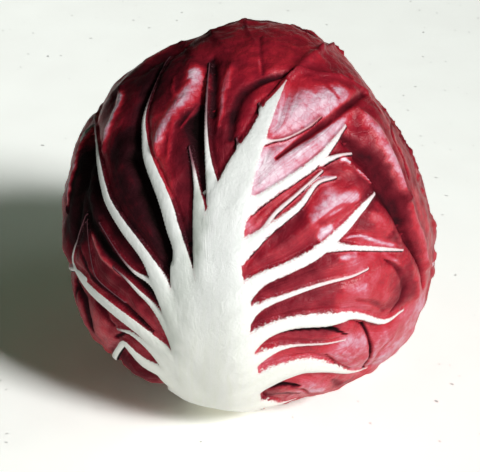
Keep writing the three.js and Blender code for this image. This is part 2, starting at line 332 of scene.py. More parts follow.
# Points, height in mm, then where they aren't as in fold(), the tone, how strongly it takes and what share of
# the height the leaves beneath take up. The tones hold the leaf's colour, painted highlights and painted
# shade
FOLDS = [
    # The valley down the right, darkened with painted shade, the ridge beyond it with a painted highlight,
    # and the striped margin
    ([(30.5, 24.5, 1.6), (34, 20.8, 3), (38, 16.2, 3.5), (41.3, 11, 3.3), (44.3, 4.5, 2.8), (47.6, -3, 2.1),
     (50.8, -9.3, 1.4), (53.3, -16, 1), (54.2, -22.5, 0.8)], -2.8, 0.29, 1, 0.8),
    ([(33, 32.5, 1.2), (37, 28.5, 2.4), (40.5, 23.5, 2.7), (43.3, 18, 2.2), (46, 11.5, 1.6),
     (48.2, 5.5, 1.1)], 2, 0.93, 0.9),
    ([(49, 5.5, 1.3), (51, -1.5, 1.6), (53.5, -8.5, 1.6), (55, -15.5, 1.3)], 1.2, 0.8),
    ([(41.5, 32.5, 2), (47, 20.5, 2.6), (51.5, 7.5, 2.6), (55, -3.5, 2)], 0, 0.69, 0.7),
    ([(45.5, 31.5, 0.4), (44.5, 26, 0.4), (47.5, 19, 0.4), (49.5, 12, 0.4)], -0.6, 0.4),
    ([(57, -3, 0.8), (57.8, -8, 1.2), (57.6, -14, 1)], 0.3, 0.7, 0.6),
    ([(58.5, -15, 0.4), (57.3, -16, 0.7), (56, -16, 0.4)], 0.6, 1.08, 1),
    ([(58, -18.5, 2.5), (57, -24, 4), (54, -30, 3)], -1.6, 0.6, 0.3),
    # The two pale panels at the top right, a painted sheen, and the crease between them, with painted shade
    ([(4.2, 24.6, 1.8), (7.6, 29, 3.6), (13, 33.8, 6.4), (19.5, 35.2, 6), (25.5, 37.4, 4), (32, 39.5, 2)],
     0.5, 0.94, 1),
    ([(21.5, 43.5, 0.5), (24, 40, 0.9), (26.5, 37, 0.6)], -0.3, 0.62),
    ([(12.5, 45, 1), (16, 43.5, 1.4), (20, 43.5, 0.8)], 0.2, 0.66),
    ([(10.5, 43.5, 0.5), (15, 45.5, 0.6), (21.5, 44.5, 0.6), (29.5, 43.2, 0.6), (36.5, 39.5, 0.5)], 0.9, 0.6),
    ([(-3.5, 5, 1.6), (3, 11.5, 4), (10.5, 17, 3.4), (16.5, 21.4, 2.8), (22, 25.3, 2.6), (27, 29.6, 2.2),
     (31.5, 33.5, 1.3)], 0.7, 0.97, 1),
    ([(1, 12, 1.7), (4, 17, 2.2), (7.2, 21, 1.2)], 0.3, 1.03, 1),
    ([(5, 18.5, 1.6), (8.6, 21, 1.7), (11.5, 23, 1.3), (14.6, 25, 1.1), (18, 27.2, 0.8)], 0.3, 0.95, 1),
    ([(35.8, 38.8, 0.9), (31, 35.2, 1.1), (26.1, 31.4, 1.4), (21.3, 28, 1.3), (17.8, 25.4, 1.1),
     (14.4, 23.2, 0.9), (10.9, 20.5, 0.7), (8.1, 18.2, 0.5)], -1.2, 0.36, 1, 0.4),
    # The crown: creases darkened with painted shade, and small painted highlights
    ([(11, 43, 0.6), (14.5, 46.5, 1.2), (18, 49.5, 1.4), (21.5, 52, 1)], 1.1, 0.58),
    ([(11.6, 45, 0.6), (6, 43.8, 1.1), (1.2, 41.6, 1.5), (-3, 38.8, 1.7), (-5, 35.3, 1.6), (-6.2, 31, 1.4),
     (-7.2, 25, 1)], -1.1, 0.19, 0.9),
    ([(-13, 49.5, 1), (-13, 44, 1.6), (-13, 38, 1.3), (-13, 33, 1)], -1, 0.06, 0.9),
    ([(-6.8, 47.5, 0.9), (-8, 43.5, 1.2), (-9.6, 38.5, 1), (-10.2, 32.5, 0.9), (-11.3, 27, 0.6)], 0.5, 0.82,
     0.9),
    ([(9, 42, 1.3), (3.5, 37.5, 1.9), (-0.5, 32.5, 1.9), (-3, 27, 1.6)], 0.3, 0.6),
    ([(2.4, 56, 0.3), (2.6, 51, 0.4), (3.2, 45.5, 0.4)], -0.4, 0.36, 0.7),
    ([(2, 50, 0.3), (2.2, 47, 0.45), (2.4, 44.5, 0.3)], 0.3, 0.8, 0.9),
    ([(22, 52.5, 0.8), (25.5, 53.5, 0.8), (28.5, 54.4, 0.5)], 1.3, 0.5, 0.6),
    ([(-30, 51.5, 2.5), (-20, 57, 3), (-10, 60.5, 3), (0, 61.8, 2.5), (11, 60.5, 2.5), (20, 57.5, 2)], 0,
     0.24, 0.7),
    ([(-22.9, 55.5, 0.6), (-20.5, 52.5, 0.6), (-18, 48, 0.5)], 0.45, 0.34, 0.7),
    ([(-13.7, 59, 0.6), (-12, 56, 0.6), (-9, 53, 0.5)], 0.45, 0.4, 0.7),
    ([(-2.5, 62, 0.6), (-2, 58.5, 0.6), (0, 55, 0.5)], 0.4, 0.4, 0.7),
    # Between the third and the ninth side vein on the right, with painted highlights and glints
    ([(31.5, 20.5, 1.9), (29.5, 15.5, 3.2), (28.5, 10, 3.2), (31, 7.5, 2.6)], 0.1, 0.57, 0.9),
    ([(33, 15, 0.4), (35, 12.8, 0.5), (37, 11.2, 0.4), (38.8, 9.8, 0.3)], 0.7, 1, 0.9),
    ([(27.5, 19, 0.6), (29.5, 18, 1), (32, 16.5, 0.6)], 0.7, 1.1, 1),
    ([(20.5, 11.5, 0.3), (24, 12, 0.5), (27.5, 12, 0.3)], 0.4, 1),
    ([(35, 5.5, 1.6), (30.5, 5, 2.4), (26, 3, 2.6), (22, 0, 2.4), (17.5, -3.3, 1.8)], 0.8, 0.96, 0.9),
    ([(33, 3.2, 0.5), (28, 2.5, 0.7), (24.5, 0.5, 0.6), (20, -3.5, 0.7)], -0.3, 0.68),
    ([(30.5, 1.5, 1), (27, -1, 1.3), (23, -3, 1.3)], -0.5, 0.62, 0.9),
    ([(26, -3.5, 1), (23.5, -5.5, 1.3), (21, -8.5, 1)], 0.7, 1.06, 1),
    ([(15, -0.5, 2.2), (10.5, -5.5, 2.9), (6, -11, 1.9)], -0.6, 0.54),
    ([(37.5, 0.5, 1.4), (41.5, -2.5, 2.4), (44.5, -6, 1.6)], 0.6, 0.86),
    ([(29, -8.6, 0.3), (34, -7, 0.6), (40.5, -9, 0.6), (47, -10.4, 0.6)], 0.6, 1.05),
    ([(40.5, 2.5, 1.3), (44.5, -2.5, 1.6), (47.5, -7.5, 1.3)], 0.2, 0.7, 0.7),
    ([(27.5, -14.5, 0.6), (31, -13.6, 1.2), (34.5, -13, 0.8)], 0.4, 0.98),
    ([(42, -12.5, 0.6), (45, -14.5, 1), (47.5, -16.5, 0.6)], 0.4, 0.93),
    ([(28.5, -24, 0.8), (33, -23.5, 1.7), (37, -23.4, 1)], 0.5, 0.95),
    ([(43, -14.8, 0.2), (46.5, -17.5, 1), (48.5, -22.5, 1.6), (48, -27, 1.6), (46, -30.5, 1)], -1, 0.42),
    ([(50, -15.5, 1), (52, -20.5, 1.3), (52, -25.5, 1)], 0.8, 0.82, 0.7),
    ([(34, -27.5, 0.6), (39, -28.5, 1), (42, -31, 0.6)], -0.4, 0.58, 0.7),
    # The rolled fold, its crack darkened with painted shade, and the pink disc at the lower right
    ([(30.5, -34, 0.3), (34, -34.5, 0.4), (36.5, -37, 0.5), (37.5, -41.5, 0.5), (37, -46.5, 0.5),
     (35.5, -50.5, 0.3)], -1.2, 0.02, 1),
    ([(31.5, -38.5, 3.8), (31, -44, 5.4), (30.5, -46.5, 3.8)], 0.6, 0.85, 1),
    ([(24, -45.5, 0.3), (27.5, -48.5, 0.4), (31, -49.5, 0.3)], -0.3, 0.3),
    ([(5.5, -40.4, 1), (15, -39, 1.7), (26.5, -39.4, 1.7)], 0.4, 0.74),
    ([(3, -40.6, 0.3), (8.5, -38.5, 0.4), (18, -37.7, 0.4), (26, -37.5, 0.4), (30, -38.8, 0.3)], -0.4, 0.05,
     1),
    ([(5.5, -46, 1.3), (15, -44, 1.5), (24, -44.4, 1.9)], 0, 0.83, 0.7),
    ([(38, -49, 0.6), (40.5, -44, 1), (43.5, -40, 0.6)], -0.4, 0.6, 0.5),
    # The patch beneath the lowest vein on the right, with a painted shadow along its upper edge
    ([(6.5, -55.3, 0.5), (10, -54.4, 0.7), (14, -54.3, 0.5)], -0.6, 0.05, 1),
    ([(5.5, -57.5, 1.2), (10, -56.8, 1.6), (14, -57, 1)], 0, 0.38),
    ([(14, -55, 1.8), (19, -55.8, 2.8), (22.5, -56, 1.9)], 0.5, 0.88, 0.9),
    ([(13, -55, 0.3), (16, -55.5, 0.4), (18, -57.5, 0.3)], -0.5, 0.35, 0.9),
    ([(26, -53.5, 0.8), (28, -54.3, 1.2), (31, -53, 0.8)], 0, 0.45),
    # The left side: two soft painted highlights, and painted shade, nearly black, in the gaps beneath the
    # veins
    ([(-31, 19, 0.6), (-29.5, 25, 1.8), (-25.8, 31.4, 2.5), (-22, 35.8, 3.5), (-18.4, 40.6, 3.6),
     (-18.3, 44.6, 3), (-20, 48.3, 1.3)], 1, 0.93, 1),
    ([(-23.5, 35.5, 0.4), (-25.2, 39, 0.5), (-25, 43, 0.4)], 0.4, 0.72),
    ([(-17.5, 36.5, 0.4), (-19.5, 32.5, 0.5), (-22.5, 28, 0.4)], 0.3, 0.74),
    ([(-27, 18, 0.5), (-26.5, 24, 0.7), (-25, 30, 0.8)], 0.4, 0.72, 0.9),
    ([(-47.5, 21, 0.8), (-46, 26, 1.4), (-44, 31, 1.7), (-42.3, 36, 1.6), (-42, 39.5, 1)], 1, 0.98, 1),
    ([(-38.3, 18, 1.6), (-34.3, 9, 2.7), (-30.8, 0.5, 2.7), (-27.8, -7, 2.1), (-26.5, -14.5, 1)], -2.2, 0, 1,
     0.5),
    ([(-54, 17, 2.2), (-53.5, 7.5, 2.2), (-52.2, -2, 1.6), (-49.2, -8, 1.5), (-45.7, -13, 1.3),
     (-41.9, -17.4, 1), (-37.6, -21, 1), (-34.1, -24.5, 1.1), (-30.9, -28.5, 0.8)], -0.7, 0, 1, 0.5),
    ([(-52.6, -5, 0.4), (-50.7, -9.5, 0.7), (-47.7, -14.4, 0.8), (-44.4, -18.4, 0.7), (-42, -20.8, 0.4)], 0.4,
     0.83, 0.9),
    ([(-55.2, -11.5, 0.6), (-53.4, -17.6, 0.8), (-50.4, -22.2, 0.9), (-45.4, -26.3, 1), (-40.5, -30.5, 1),
     (-36, -34.6, 0.7), (-32.5, -37.8, 0.3)], -0.7, 0.08, 0.9),
    ([(-56, -24, 1), (-53.5, -29, 1.6), (-51.5, -36, 1.3)], -1.6, 0.08, 0.9, 0.4),
    ([(-56.9, -21.5, 0.5), (-55.9, -27.5, 0.8), (-54.3, -33, 0.6)], -0.9, 0.1, 0.85),
    ([(-50.5, -29, 0.6), (-48, -32, 1), (-45.5, -35.5, 0.6)], -0.6, 0.27),
    ([(-49.5, -34, 1.9), (-47, -39, 2.6), (-47.5, -42.5, 1.6)], 0.5, 0.72, 0.7),
    ([(-43.5, -39.5, 0.6), (-41, -38.6, 0.5), (-38, -40.4, 0.6), (-35, -42.8, 0.5)], -0.6, 0.1, 0.9),
    ([(-31, 20.5, 1.9), (-28.5, 13.5, 2.6), (-26.5, 7, 1.6)], 0.6, 0.68),
    ([(-50, 32.5, 0.6), (-53, 25, 0.7), (-55.5, 17, 0.8), (-57.7, 7.5, 0.8), (-58.8, 1, 0.5)], 1.2, 1, 1),
    ([(-53.8, 29, 1.2), (-55, 24.5, 1.4), (-57.2, 15.5, 0.8), (-58.5, 13, 0.8)], -0.5, 0.4, 0.3),
    ([(-52, 20, 2), (-54, 12, 2.4), (-56, 3, 2.2), (-57, -6.5, 1.6)], -1.5, 0, 1),
    # Where the head's outline falls short of a round one, or passes it
    ([(-11, 60, 4), (-16, 58, 7), (-22, 55.5, 7)], -2.1),
    ([(-26, 53, 5), (-31, 50, 5), (-35, 46.5, 4)], -2.2),
    ([(12.5, 60, 4), (16.5, 59, 6), (21, 56.8, 5)], -1.9),
    ([(0.5, 61.5, 4), (7, 61.2, 4)], 0.8),
    ([(-55, 26, 3), (-57.5, 18, 5), (-60, 2, 4)], -1.8),
    ([(-59.5, -12, 4), (-57, -24, 5), (-53, -34, 4)], 0.8),
    ([(-29, -55, 4), (-23, -58, 5), (-15, -61.5, 4)], -2),
    ([(38, 40, 6), (48.5, 23.5, 6), (56, 4.5, 5)], -1.2),
    ([(53, -32, 5), (46, -44, 6), (36, -52, 5)], 1.4),
]
# Points, strength: below 0 grey-green, for the undersides at the torn left margin, and above 0 brown, for the
# right margin
TINTS = [
    ([(-51.8, 29, 1.4), (-53.8, 25, 2), (-55, 21.5, 1.4)], -1.7),
    ([(-56.5, 17, 1.1), (-57.3, 13, 1.3)], -1.6),
    ([(45, 31, 2), (50, 19, 3), (54, 6, 3), (57, -4, 2)], 0.55),
    ([(56.5, -14, 2), (55.5, -22, 2)], 0.5),
]
TOOTHED = [  # points, strength: where the right limb is finely serrated
    ([(43.5, 34.5, 2), (51.5, 21.5, 2.5), (57.5, 4.5, 2.5), (59, -3, 2)], 1),
]
PAINTED_SHADES = [  # points, how strongly: painted shade, grey, on the midrib's left flank and on the roots of the side veins there
    ([(-15.5, 12, 1.2), (-18.3, 2, 2.4), (-19, -8, 3.4)], 0.65),
    ([(-20, -16, 3.4), (-23, -24, 4), (-26.5, -32, 4.5), (-27, -40, 4)], 0.38),
]
TONE_AND_LIGHT_SPOTS = [  # X, Y, reach, tone from 0, nearly black, through 0.7, crimson, to 1, pale pink. The darkest on the left are partly painted shade, the palest, at the top right, a painted sheen
    (-8, 32, 7, 0.45), (-11, 16, 6, 0.42), (-17, 30, 5, 0.1), (-24, 9, 5, 0.38), (-28, 22, 6, 0.54),
    (-36, 11, 6, 0.16), (-40, 21, 4, 0.1), (-22, 20, 3.5, 0.16), (-27, -8, 6, 0.24), (-40, 5, 6, 0.2),
    (-35, -5, 6, 0.24), (-51, -15, 4, 0.38), (-44, -22, 5, 0.38), (-42, -12, 4, 0.42), (-48, -31, 6, 0.62),
    (-38, -50, 5, 0.36), (-56, 5, 8, 0.04), (-33, 44, 9, 0.23), (-20, 50, 9, 0.33), (-16, 52, 4, 0.58),
    (2, 55, 9, 0.58), (15, 52, 7, 0.58), (15, 36, 9, 0.7), (4, 14, 6, 0.9), (18, 28, 6, 0.93),
    (5, 0, 6, 0.84), (10, -7, 7, 0.6), (24, 4, 6, 0.78), (31, 15, 6, 0.52), (40, 12, 4, 0.32),
    (47, 0, 5, 0.4), (53, -2, 6, 0.54), (48, 20, 8, 0.52), (15, -19, 7, 0.6), (15, -28, 7, 0.58),
    (40, -24, 9, 0.77), (48, -24, 5, 0.5), (15, -38, 6, 0.48), (12, -45, 6, 0.84), (31, -45, 7, 0.8),
    (15, -55, 6, 0.79), (5, -56, 5, 0.47), (45, -40, 9, 0.85), (22, 43, 6, 0.53),
]


# ---- The leaves' surfaces ----
def pitch_at(order):
    """How far the next leaf lies beneath this one: at the base, and round the sides."""
    outwards = 1 - order / (LEAF_COUNT - 1)
    inwards = float(smooth(order, 0, LEAF_COUNT / 2))
    return mix(BASE_PITCH[1], BASE_PITCH[0], outwards**2), mix(SIDE_PITCH[0], SIDE_PITCH[1], inwards)


def leaf_table():
    leaves = []
    inset = np.zeros(2)
    outer = [FRONT, BACK, RIGHT, LEFT]
    for i in range(LEAF_COUNT):
        beneath = i - len(outer) + 1
        if beneath < 1:
            shape = outer[i]
        else:
            in_heart = beneath - MIDDLE_COUNT
            name = f"middle_leaf_{beneath}" if in_heart < 1 else f"heart_leaf_{in_heart}"
            shape = dict(INNER, name=name, turn=LEFT["turn"] + beneath * GOLDEN_TURN)
        pitch = np.array(pitch_at(i))
        leaves.append(dict(shape, index=i, inset=inset.copy(), pitch=pitch))
        inset += pitch
    return leaves


def stem_radius(below):
    down = min(1, max(0, (below - STEM_TOP_DEPTH) / (STEM_CUT_DEPTH - STEM_TOP_DEPTH)))
    return mix(STEM_TOP_RADIUS, STEM_CUT_RADIUS, down)


def base_angle(leaf, face):
    outer = float(head_shape(np.array([[0, 0, -1.0]]))[0]) * (1 - leaf["inset"][0] / HEAD_RADIUS)
    radius = outer if face == "outer" else outer - leaf["pitch"][0] + LEAF_GAP
    clear = stem_radius(outer) + LEAF_GAP
    return math.degrees(math.asin(min(0.8, clear / radius)))


def leaf_directions(leaf, face, across, along):
    """Directions from the head's centre of places on a leaf, and how near each is to the margin."""
    tip = leaf["tip"] - leaf["round"] * across**2
    down = mix(base_angle(leaf, face), tip, along)
    widening = 1 - (1 - np.minimum(1, along / THICK_BASE)) ** 3
    spread = mix(leaf["clasp"], leaf["half"], widening) * (1 - 0.2 * smooth(along, 0.7, 1))
    middle = leaf["sway"] * smooth(along, 0.5, 1)
    side = np.radians(across * spread + middle)
    bend = np.radians(leaf["over"]) * smooth(down, CROWN_BEND_STARTS, 180)
    down = np.radians(down)
    x, y, z = np.sin(down) * np.sin(side), -np.sin(down) * np.cos(side), -np.cos(down)
    y, z = y * np.cos(bend) + z * np.sin(bend), z * np.cos(bend) - y * np.sin(bend)
    directions = np.stack([x, y, z], axis=1) @ about(2, leaf["turn"]).T
    edge = np.maximum(smooth(np.abs(across), 0.6, 1), smooth(along, 0.86, 1))
    return directions, down, across * spread, edge


def leaf_radii(leaf, directions, down, aside, edge, across, along):
    """The CAD's outer radius there, and the thickness below the shell."""
    low = smooth(-directions[:, 2], -0.2, 0.9)
    inset = mix(leaf["inset"][1], leaf["inset"][0], low)
    shell = head_shape(directions) * (1 - inset / HEAD_RADIUS)
    room = mix(leaf["pitch"][1], leaf["pitch"][0], low) - LEAF_GAP
    lateral = np.radians(aside) * np.sin(down) * shell
    rib_width = mix(RIB_WIDTH[0], RIB_WIDTH[1], along)
    rib = leaf["rib"] * (1 - smooth(along, *RIB_ENDS)) * bump(lateral, rib_width)
    wave = 0.5 + 0.5 * np.sin(FLARE_WAVES[0] * across + FLARE_WAVES[1] * along)
    flare = leaf["flare"] * edge * wave
    settle = (room - BLADE_THICKNESS) * edge
    thick = np.maximum(BLADE_THICKNESS, (room - settle) * (1 - smooth(along, 0, THICK_BASE)))
    return shell + flare - settle, rib, thick


# ---- Veins of the other leaves ----
LEAF_SPANS = (60, 90, 1)  # about how far a leaf reaches across and along in mm, and no change to half-widths
VEINS_A_SIDE = 8


def grown_veins(leaf):
    """A midrib and its side veins, grown by rule, for any leaf but the front one."""
    rng = np.random.default_rng(100 + leaf["index"])

    def stroke(rows, **more):
        path = smooth_path(np.array(rows) * LEAF_SPANS) / LEAF_SPANS
        directions = leaf_directions(leaf, "outer", path[:, 0], path[:, 1])[0]
        return Stroke(place_on(directions), path[:, 2], **more)

    midrib = stroke([(0, 0, 13), (0, 0.2, 9.5), (0, 0.4, 6), (0, 0.6, 3.4), (0, 0.8, 1.4), (0, 0.93, 0.3)])
    veins = []
    for hand in (-1, 1):
        for k in range(VEINS_A_SIDE):
            start = 0.02 + 0.095 * k + rng.uniform(-0.02, 0.02)
            rise = 0.12 + 0.022 * k + rng.uniform(-0.02, 0.02)
            reach = rng.uniform(0.8, 0.98) * min(1, 1.25 - start)
            wide = mix(2.8, 1.2, k / VEINS_A_SIDE) * rng.uniform(0.8, 1.15)
            rows = [
                (0, start, wide * 1.4),
                (hand * reach * 0.3, start + rise * 0.18, wide),
                (hand * reach * 0.65, start + rise * 0.55, wide * 0.55),
                (hand * reach, start + rise, 0.25),
            ]
            veins.append(stroke(rows, order=hand * (1 + 2 * k), cliff=rng.uniform(0.2, 0.7), side=-hand))
    return midrib, veins


# ---- What the veins and the folds do to a leaf ----
BULGE = 1.1  # how far the blade swells between its veins


def vein_fields(midrib, veins, places):
    """Distance to the veins' border (below 0 inside), relief in mm, hollowness and the blade's grain."""
    rib_across, rib_distance, rib_width, _ = midrib.measure(places)
    nothing = np.zeros(len(places))
    nearest = dict(edge=rib_distance - rib_width, cross=rib_across, width=rib_width)
    nearest.update(fray=nothing + RIB_FRAY, lee=nothing)
    height = RIB_RISE * np.sqrt(np.maximum(0, 1 - (rib_distance / (rib_width + 1.5)) ** 3))
    hollow, grain, weights = nothing, nothing, nothing + 1e-4
    for vein in veins:
        across, distance, width, share = vein.measure(places)
        # The lee side is where the blade falls beside the vein; the material paints shade in a thin band
        # there
        lee = smooth(across * vein.side, -0.3, 0.3) * smooth(share, 0.02, 0.1)
        found = dict(edge=distance - width, cross=across, width=width, fray=vein.fray, lee=lee)
        closer = found["edge"] < nearest["edge"]
        nearest = {key: np.where(closer, value, nearest[key]) for key, value in found.items()}
        round_top = np.sqrt(np.maximum(0, 1 - (distance / (width + 0.7)) ** 2))
        height = (height**4 + ((0.35 + 0.4 * np.minimum(width, 3)) * round_top) ** 4) ** 0.25
        near_end = 1 - smooth(distance - np.abs(across), 0.5, 2)
        past = across * vein.side - width
        ends = smooth(share, 0.02, 0.12) * (1 - smooth(share, 0.8, 1)) * near_end
        fall = vein.cliff * ends * smooth(past, 0, 0.6) * bump(np.maximum(past - 1.2, 0), 2.6)
        hollow = np.maximum(hollow, fall)
        weight = 1 / (distance**2 + 0.6) ** 1.5
        grain = grain + vein.order * weight
        weights = weights + weight
    edge = nearest["edge"]
    outside = smooth(edge, -0.2, 0.6)
    groove = (0.2 + 0.1 * nearest["width"]) * bump(edge - 0.8, 0.6)
    bulge = BULGE * (1 - bump(np.maximum(edge, 0), 4.5))
    relief = height + bulge - (groove + hollow) * outside
    return dict(nearest, relief=relief, hollow=hollow * outside, grain=grain / weights, out=rib_distance)


def fold(points, high, tone=None, strength=0.8, shared=0):
    """One fold; without a tone it changes the shape alone."""
    return Stroke.drawn(points), high, tone, strength, shared


FOLD_STROKES = [fold(*row) for row in FOLDS]
TINT_STROKES, TOOTHED_STROKES, PAINTED_SHADE_STROKES = (
    [(Stroke.drawn(points), strength) for points, strength in table] for table in (TINTS, TOOTHED, PAINTED_SHADES)
)
DEEPEST_FOLD = 7  # no fold reaches the leaf that lies this many leaves beneath the outermost
PALE_SHEEN_TONE = 0.75  # a fold of a paler tone than this, for the most part a painted highlight or sheen, has a soft wandering border and fades towards its ends


def folded(places, tone, depth):
    """The folds' relief, on a leaf that lies depth leaves beneath the outermost, and the tone they leave,
    with its painted highlights and painted shade.
    """
    relief = np.zeros(len(places))
    wander = 0.45 * PUCKERED(places) + 0.35 * FINE(places)
    for stroke, high, fold_tone_and_light, strength, shared in FOLD_STROKES:
        if depth and not shared:
            continue
        _, distance, width, share = stroke.measure(places)
        taken = 1 if depth == 0 else shared * max(0, 1 - depth / DEEPEST_FOLD)
        relief += high * taken * bump(distance, width * 1.2)
        if depth == 0 and fold_tone_and_light is not None:
            wide, sharp, ends = 1.1, 4, 1
            if fold_tone_and_light > PALE_SHEEN_TONE:
                distance = np.maximum(0, distance + wander * np.minimum(width, 2) * 0.45)
                wide, sharp, ends = 1.15, 3, smooth(share, 0, 0.12) * (1 - smooth(share, 0.88, 1))
            tone = mix(tone, fold_tone_and_light, strength * ends * np.exp(-((distance / (width * wide)) ** sharp)))
    return relief, tone


def washed(places, strokes):
    """What soft strokes of a tint or of painted shade add up to."""
    total = np.zeros(len(places))
    for stroke, strength in strokes:
        _, distance, width, _ = stroke.measure(places)
        total += strength * bump(distance + 0.8 * PUCKERED(places), width * 1.3)
    return total


UNPAINTED_TONE = 0.6
UNPAINTED_WEIGHT = 0.02


def painted_tone(places):
    """The front leaf's tone: the nearest painted tones, blended."""
    spots = lift([(x, y) for x, y, _, _ in TONE_AND_LIGHT_SPOTS])
    total = np.full(len(places), UNPAINTED_TONE * UNPAINTED_WEIGHT)
    weights = np.full(len(places), UNPAINTED_WEIGHT)
    for spot, (_, _, reach, tone) in zip(spots, TONE_AND_LIGHT_SPOTS):
        weight = np.exp(-((np.linalg.norm(places - spot, axis=1) / reach) ** 2))
        total += tone * weight
        weights += weight
    return total / weights


# ---- Meshes ----
def zipped(first, second, flip):
    """Triangles that join two rows of vertices, which may differ in count."""
    faces = []
    i = j = 0
    last_i, last_j = len(first) - 1, len(second) - 1
    while i < last_i or j < last_j:
        on_first = j == last_j or (i < last_i and (i + 1) / last_i <= (j + 1) / last_j)
        ahead = first[i + 1] if on_first else second[j + 1]
        faces.append((first[i], ahead, second[j]) if flip else (first[i], second[j], ahead))
        i, j = (i + 1, j) if on_first else (i, j + 1)
    return faces


def grid_faces(ids, outwards):
    a, b, c, d = ids[:-1, :-1], ids[:-1, 1:], ids[1:, 1:], ids[1:, :-1]
    order = (a, b, c, d) if outwards else (a, d, c, b)
    return np.stack([q.ravel() for q in order], axis=1).tolist()


def sheet_faces(outer_ids, inner_ids):
    """A closed sheet: its outer face, its coarser inner face, and the rim between them."""
    faces = grid_faces(outer_ids, True) + grid_faces(inner_ids, False)
    for first, second, flip in (
        (outer_ids[0], inner_ids[0], False),
        (outer_ids[-1], inner_ids[-1], True),
        (outer_ids[:, 0], inner_ids[:, 0], True),
        (outer_ids[:, -1], inner_ids[:, -1], False),
    ):
        faces += zipped(first.tolist(), second.tolist(), flip)
    return faces


def make_object(name, points, faces, material, fields=None):
    mesh = bpy.data.meshes.new(name)
    mesh.from_pydata(points.tolist(), [], faces)
    mesh.polygons.foreach_set("use_smooth", np.ones(len(mesh.polygons), bool))
    for key, values in (fields or {}).items():
        mesh.attributes.new(key, "FLOAT", "POINT").data.foreach_set("value", values.astype(np.float32))
    mesh.materials.append(material)
    mesh.update()
    made = bpy.data.objects.new(name, mesh)
    bpy.context.scene.collection.objects.link(made)
    return made


CLOSER_SET = 0.33  # how much closer the grid's lines are set in the middle of a leaf than at its margins


def grid_points(columns, rows):
    across, along = np.linspace(-1, 1, columns + 1), np.linspace(0, 1, rows + 1)
    across -= CLOSER_SET / math.pi * np.sin(math.pi * across)
    along += CLOSER_SET / math.tau * np.sin(math.tau * along)
    across, along = np.meshgrid(across, along)
    return across.ravel(), along.ravel()


def resting(directions, radius):
    """Keeps a radius above the trimmed base and the floor."""
    trim = np.where(directions[:, 2] < -0.5, TRIM_DEPTH / np.maximum(-directions[:, 2], 0.5), np.inf)
    drop = -(directions @ LEAN.T)[:, 2]
    floor = np.where(drop > 0.5, CENTRE_HEIGHT / np.maximum(drop, 0.5), np.inf)
    return np.minimum(radius, np.minimum(trim, floor))


TOOTH_LENGTHS = (0.014, 0.012)  # at the sides and at the tip, as a share of the leaf's half-width and length
CRUMPLE = ((LUMPY, 0.27), (PUCKERED, 0.12), (FINE, 0.05))
COMBED = ((LUMPY, 0.2), (PUCKERED, 0.06))  # ripples along the blade's grain
COVERED_TONE = 0.62  # of the leaves other than the front one
COVERED_RELIEF = (-1.5, 0.6)  # the limits on those leaves, which have only the gaps between them
SUNK = 0.9  # how far all relief is set beneath the CAD's surface, so that the veins end near it
SERRATION = 0.55
CURL = 1.1  # how far the front leaf's margin stands out at most
MARGIN_THICKNESS = 0.5
RIB_COVER = 0.3  # where the rib rises less than this, the inner face goes as much deeper
LEAST_THICKNESS = 0.35
INNER_FACE_EDGE = 0.4  # how much narrower the veins look on the inner face


def layered(layers, places):
    """A sum of soft random fields, each with its height."""
    return sum(height * waves(places) for waves, height in layers)


def leaf_surface(leaf, midrib, veins, face, columns, rows):
    """The places of one face of a leaf in the CAD's frame, and the fields that its material reads."""
    across, along = grid_points(columns, rows)
    front = leaf["index"] == 0
    # The margin is toothed: the outline wanders a little before the shape is laid down.
    directions, _, _, _ = leaf_directions(leaf, face, across, along)
    teeth = TEETH(place_on(directions) + leaf["index"])
    toothy = mix(0.35, 1, smooth(across, -0.3, 0.3)) if front else 1
    across_toothed = across * (1 + TOOTH_LENGTHS[0] * toothy * teeth * smooth(np.abs(across), 0.85, 1))
    along_toothed = along * (1 + TOOTH_LENGTHS[1] * toothy * teeth * smooth(along, 0.85, 1))
    directions, down, aside, edge = leaf_directions(leaf, face, across_toothed, along_toothed)
    places = place_on(directions)
    radius, rib, thick = leaf_radii(leaf, directions, down, aside, edge, across, along)

    fields = vein_fields(midrib, veins, places)
    combed = np.stack([fields["grain"] * 5, fields["out"] * 0.35, np.zeros(len(places))], axis=1)
    near_veins = 1 - smooth(fields["edge"], 3, 7)
    crumple = layered(CRUMPLE, places) + layered(COMBED, combed) * mix(0.15, 1, near_veins)
    blade = smooth(fields["edge"], 0, 2)
    tone = painted_tone(places) if front else np.full(len(places), COVERED_TONE)
    folds, tone = folded(places, tone, leaf["index"])
    relief = fields.pop("relief") * (1 if front else min(1, 0.3 + 0.12 * leaf["pitch"][1]))
    relief = relief - SUNK + crumple * mix(0.04, 1, blade) + folds * mix(0.3, 1, blade)
    if front:
        relief = relief + SERRATION * washed(places, TOOTHED_STROKES) * FINE(places * 0.9)
        radius = radius + CURL * edge * toothy * (0.5 + 0.5 * PUCKERED(places * 0.7))
    else:
        relief = np.clip(relief, *COVERED_RELIEF)

    outer = resting(directions, radius + rib + relief)
    thinned = mix(thick, np.minimum(thick, MARGIN_THICKNESS), smooth(edge, 0.5, 1))
    inner = radius + relief + np.minimum(0, rib - RIB_COVER) - thinned
    inner = np.minimum(inner, outer - LEAST_THICKNESS)
    if face == "inner":
        fields["edge"] = fields["edge"] + INNER_FACE_EDGE
    fields["tone"] = tone + 0.04 * MOTTLED(places) + 0.03 * PUCKERED(places)
    fields["tint"] = washed(places, TINT_STROKES if front else [])
    fields["shade"] = washed(places, PAINTED_SHADE_STROKES if front else [])
    fields["low"] = smooth(-directions[:, 2], 0.1, 0.95)
    radius = outer if face == "outer" else inner
    return to_world(directions * radius[:, None]), fields


def drawn_vein(hand, fray, points, order, cliff, run_on=0):
    """A side vein of the front leaf; the hand is 1 on the left and -1 on the right."""
    vein = Stroke.drawn(points, order=order, cliff=cliff, side=hand, fray=fray)
    return vein.run_on(run_on) if run_on else vein


